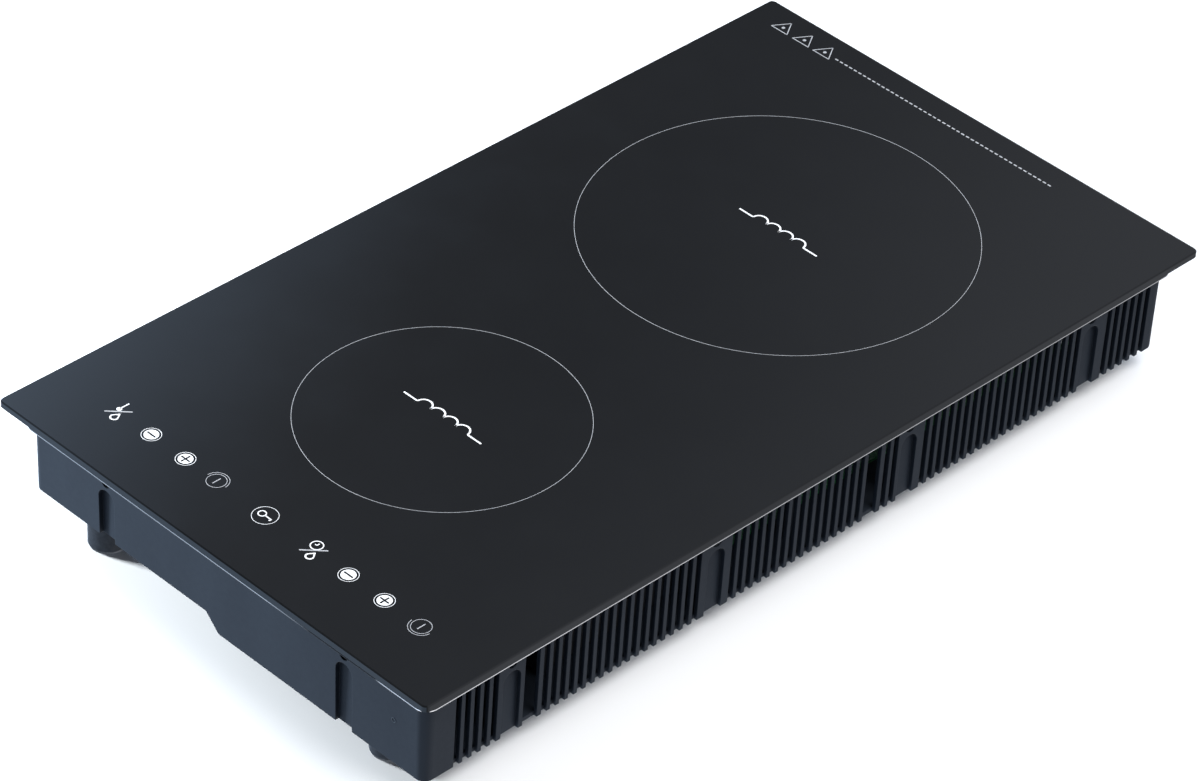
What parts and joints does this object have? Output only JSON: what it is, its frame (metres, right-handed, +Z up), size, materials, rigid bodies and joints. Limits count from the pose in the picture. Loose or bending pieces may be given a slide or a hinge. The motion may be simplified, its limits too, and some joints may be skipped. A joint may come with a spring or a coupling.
{
  "type": "electric induction cooktop",
  "caption": "Built-in induction cooktop: a black glass panel with printed cooking zones and touch keys over a slotted plastic shell on feet.",
  "frame": {"origin": "on the surface under the feet, below the middle of the glass", "axes": "+X to the user's right, +Y away from the user, +Z up through the glass"},
  "size_m": [0.288, 0.51, 0.0695],
  "materials": {
    "ceramic_glass": "glossy black glass-ceramic with ground edges",
    "shell_plastic": "fine moulded texture, dark blue-grey",
    "frame_steel": "black coated steel with a bright lower edge",
    "seal_foam": "black closed-cell foam tape",
    "silicone": "matt black silicone",
    "foot_rubber": "matt black rubber",
    "zinc_screw": "zinc plated",
    "aluminium": "mill finish",
    "litz_wire": "enamelled copper strands",
    "carrier_plastic": "glass filled plastic",
    "ferrite": "dark grey sintered ferrite",
    "fibre_felt": "white ceramic fibre felt",
    "spring_steel": "bright spring wire",
    "circuit_board": "green solder mask",
    "black_package": "moulded epoxy",
    "capacitor_case": "yellow film capacitor case",
    "relay_case": "blue relay case",
    "fuse_glass": "nickel plated fuse holder",
    "copper_winding": "enamelled copper",
    "gland_nylon": "black nylon",
    "terminal_plastic": "white terminal block",
    "fan_plastic": "black fan plastic",
    "bronze": "sintered bronze",
    "electrode_foam": "conductive foam",
    "digit_plastic": "grey display with unlit segments",
    "wire_insulation": "flexible insulation",
    "ribbon_insulation": "grey flat cable"
  },
  "bodies": {
    "cooktop": {"glass_panel": "ceramic_glass", "glass_bead": "silicone", "worktop_seal": "seal_foam", "support_frame": "frame_steel", "bottom_shell": "shell_plastic", "foot_front_left": "foot_rubber", "foot_front_right": "foot_rubber", "foot_rear_left": "foot_rubber", "foot_rear_right": "foot_rubber", "foot_screws": "zinc_screw", "shell_screws": "zinc_screw", "tray_screws": "zinc_screw", "power_board_screws": "zinc_screw", "filter_board_screws": "zinc_screw", "fan_screws": "zinc_screw", "carrier_screws": "zinc_screw", "coil_tray": "aluminium", "power_board": "circuit_board", "filter_board": "circuit_board", "control_board": "circuit_board", "heat_sink": "aluminium", "power_transistors": "black_package", "bridge_rectifier": "black_package", "dc_link_capacitors": "capacitor_case", "resonance_capacitors": "capacitor_case", "standby_transformer": "capacitor_case", "mains_relay": "relay_case", "mains_fuse": "fuse_glass", "filter_choke_core": "ferrite", "filter_choke_windings": "copper_winding", "filter_capacitor": "capacitor_case", "cable_gland": "gland_nylon", "gland_nut": "gland_nylon", "terminal_block": "terminal_plastic", "fan_housing": "fan_plastic", "fan_cover": "fan_plastic", "fan_stator": "copper_winding", "fan_bearing": "bronze", "control_carrier": "carrier_plastic", "key_electrodes": "electrode_foam", "digit_displays": "digit_plastic", "large_coil_leads": "wire_insulation", "small_coil_leads": "wire_insulation", "mains_wires": "wire_insulation", "link_wires": "wire_insulation", "fan_lead": "wire_insulation", "control_ribbon": "ribbon_insulation", "large_coil_winding": "litz_wire", "large_coil_carrier": "carrier_plastic", "large_coil_ferrites": "ferrite", "large_coil_felt": "fibre_felt", "large_coil_sensor": "terminal_plastic", "large_coil_springs": "spring_steel", "small_coil_winding": "litz_wire", "small_coil_carrier": "carrier_plastic", "small_coil_ferrites": "ferrite", "small_coil_felt": "fibre_felt", "small_coil_sensor": "terminal_plastic", "small_coil_springs": "spring_steel"},
    "fan_wheel": {"fan_rotor": "fan_plastic"}
  },
  "joints": [
    {"name": "fan_spin", "type": "hinge", "parent": "cooktop", "child": "fan_wheel", "pos_m": [0.07, -0.112, 0.028], "axis": [0, 0, 1], "continuous": true}
  ]
}
